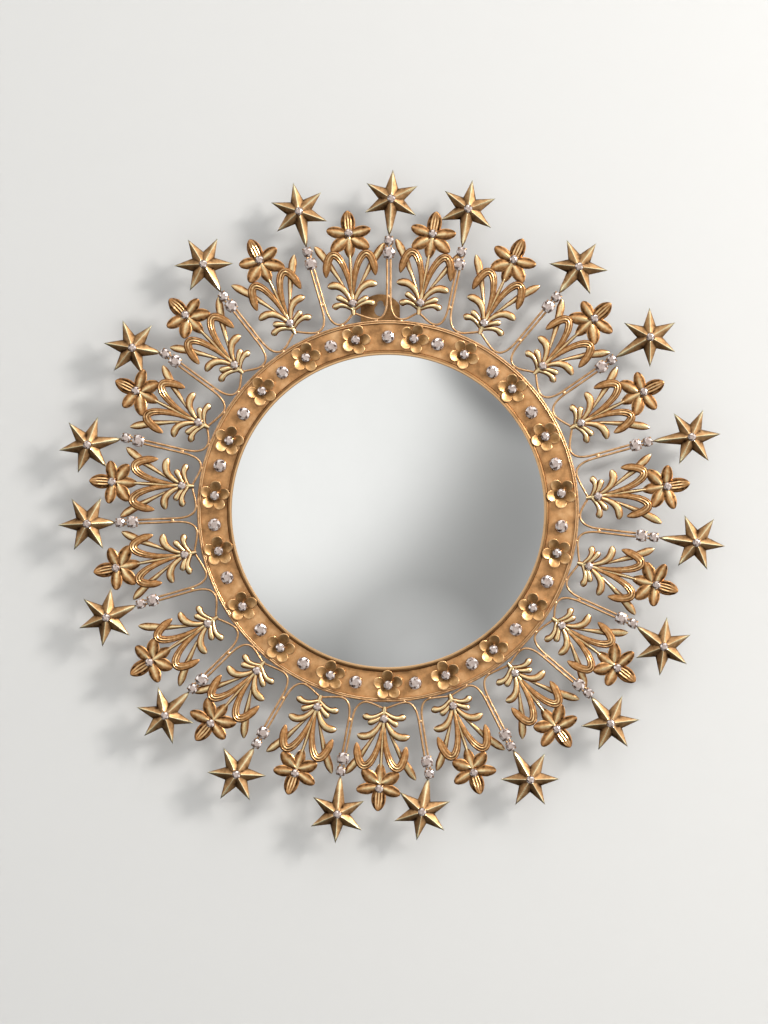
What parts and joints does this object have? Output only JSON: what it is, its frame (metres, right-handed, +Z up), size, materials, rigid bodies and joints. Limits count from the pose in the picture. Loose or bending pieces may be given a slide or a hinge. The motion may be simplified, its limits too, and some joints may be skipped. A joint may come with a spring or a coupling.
{
  "type": "convex wall mirror",
  "caption": "Round convex butler's mirror in a flat brass case, ringed with crystals and flowers and crowned by wire spokes with stars and pressed flower sprays.",
  "frame": {"origin": "on the axis of the ring, in the flat back face of the case, which lies against the wall", "axes": "+Z up, +Y into the wall, the mirror faces -Y, +X to the right as the viewer sees it"},
  "size_m": [0.4189, 0.0267, 0.4228],
  "materials": {
    "mirror_glass": "silvered and polished",
    "felt_pad": "dense felt",
    "band_brass": "aged, matt sandy gold",
    "case_brass": "aged, brown patina",
    "wire_brass": "aged, drawn wire",
    "star_brass": "pressed sheet, satin gold",
    "spray_brass": "pressed, brown patina in the hollows",
    "flower_brass": "thin sheet, satin gold",
    "cup_brass": "aged, stamped claw cups",
    "clear_crystal": "cut and polished"
  },
  "bodies": {
    "root": {"convex_mirror": "mirror_glass", "mirror_pad": "felt_pad", "glass_bezel": "case_brass", "back_plate": "case_brass", "side_hoop": "case_brass", "frame_band": "band_brass", "rim_wire": "wire_brass", "hanger_plate": "case_brass", "ring_cups": "cup_brass", "ring_crystals": "clear_crystal", "ring_flowers": "flower_brass", "flower_cups": "cup_brass", "flower_crystals": "clear_crystal", "arch_wires": "wire_brass", "spoke_cups": "cup_brass", "spoke_crystals": "clear_crystal", "star_01": "star_brass", "star_02": "star_brass", "star_03": "star_brass", "star_04": "star_brass", "star_05": "star_brass", "star_06": "star_brass", "star_07": "star_brass", "star_08": "star_brass", "star_09": "star_brass", "star_10": "star_brass", "star_11": "star_brass", "star_12": "star_brass", "star_13": "star_brass", "star_14": "star_brass", "star_15": "star_brass", "star_16": "star_brass", "star_17": "star_brass", "star_18": "star_brass", "star_19": "star_brass", "star_cups": "cup_brass", "star_crystals": "clear_crystal", "spray_01": "spray_brass", "spray_02": "spray_brass", "spray_03": "spray_brass", "spray_04": "spray_brass", "spray_05": "spray_brass", "spray_06": "spray_brass", "spray_07": "spray_brass", "spray_08": "spray_brass", "spray_09": "spray_brass", "spray_10": "spray_brass", "spray_11": "spray_brass", "spray_12": "spray_brass", "spray_13": "spray_brass", "spray_14": "spray_brass", "spray_15": "spray_brass", "spray_16": "spray_brass", "spray_17": "spray_brass", "spray_18": "spray_brass", "spray_19": "spray_brass", "spray_cups": "cup_brass", "spray_crystals": "clear_crystal"}
  },
  "joints": []
}
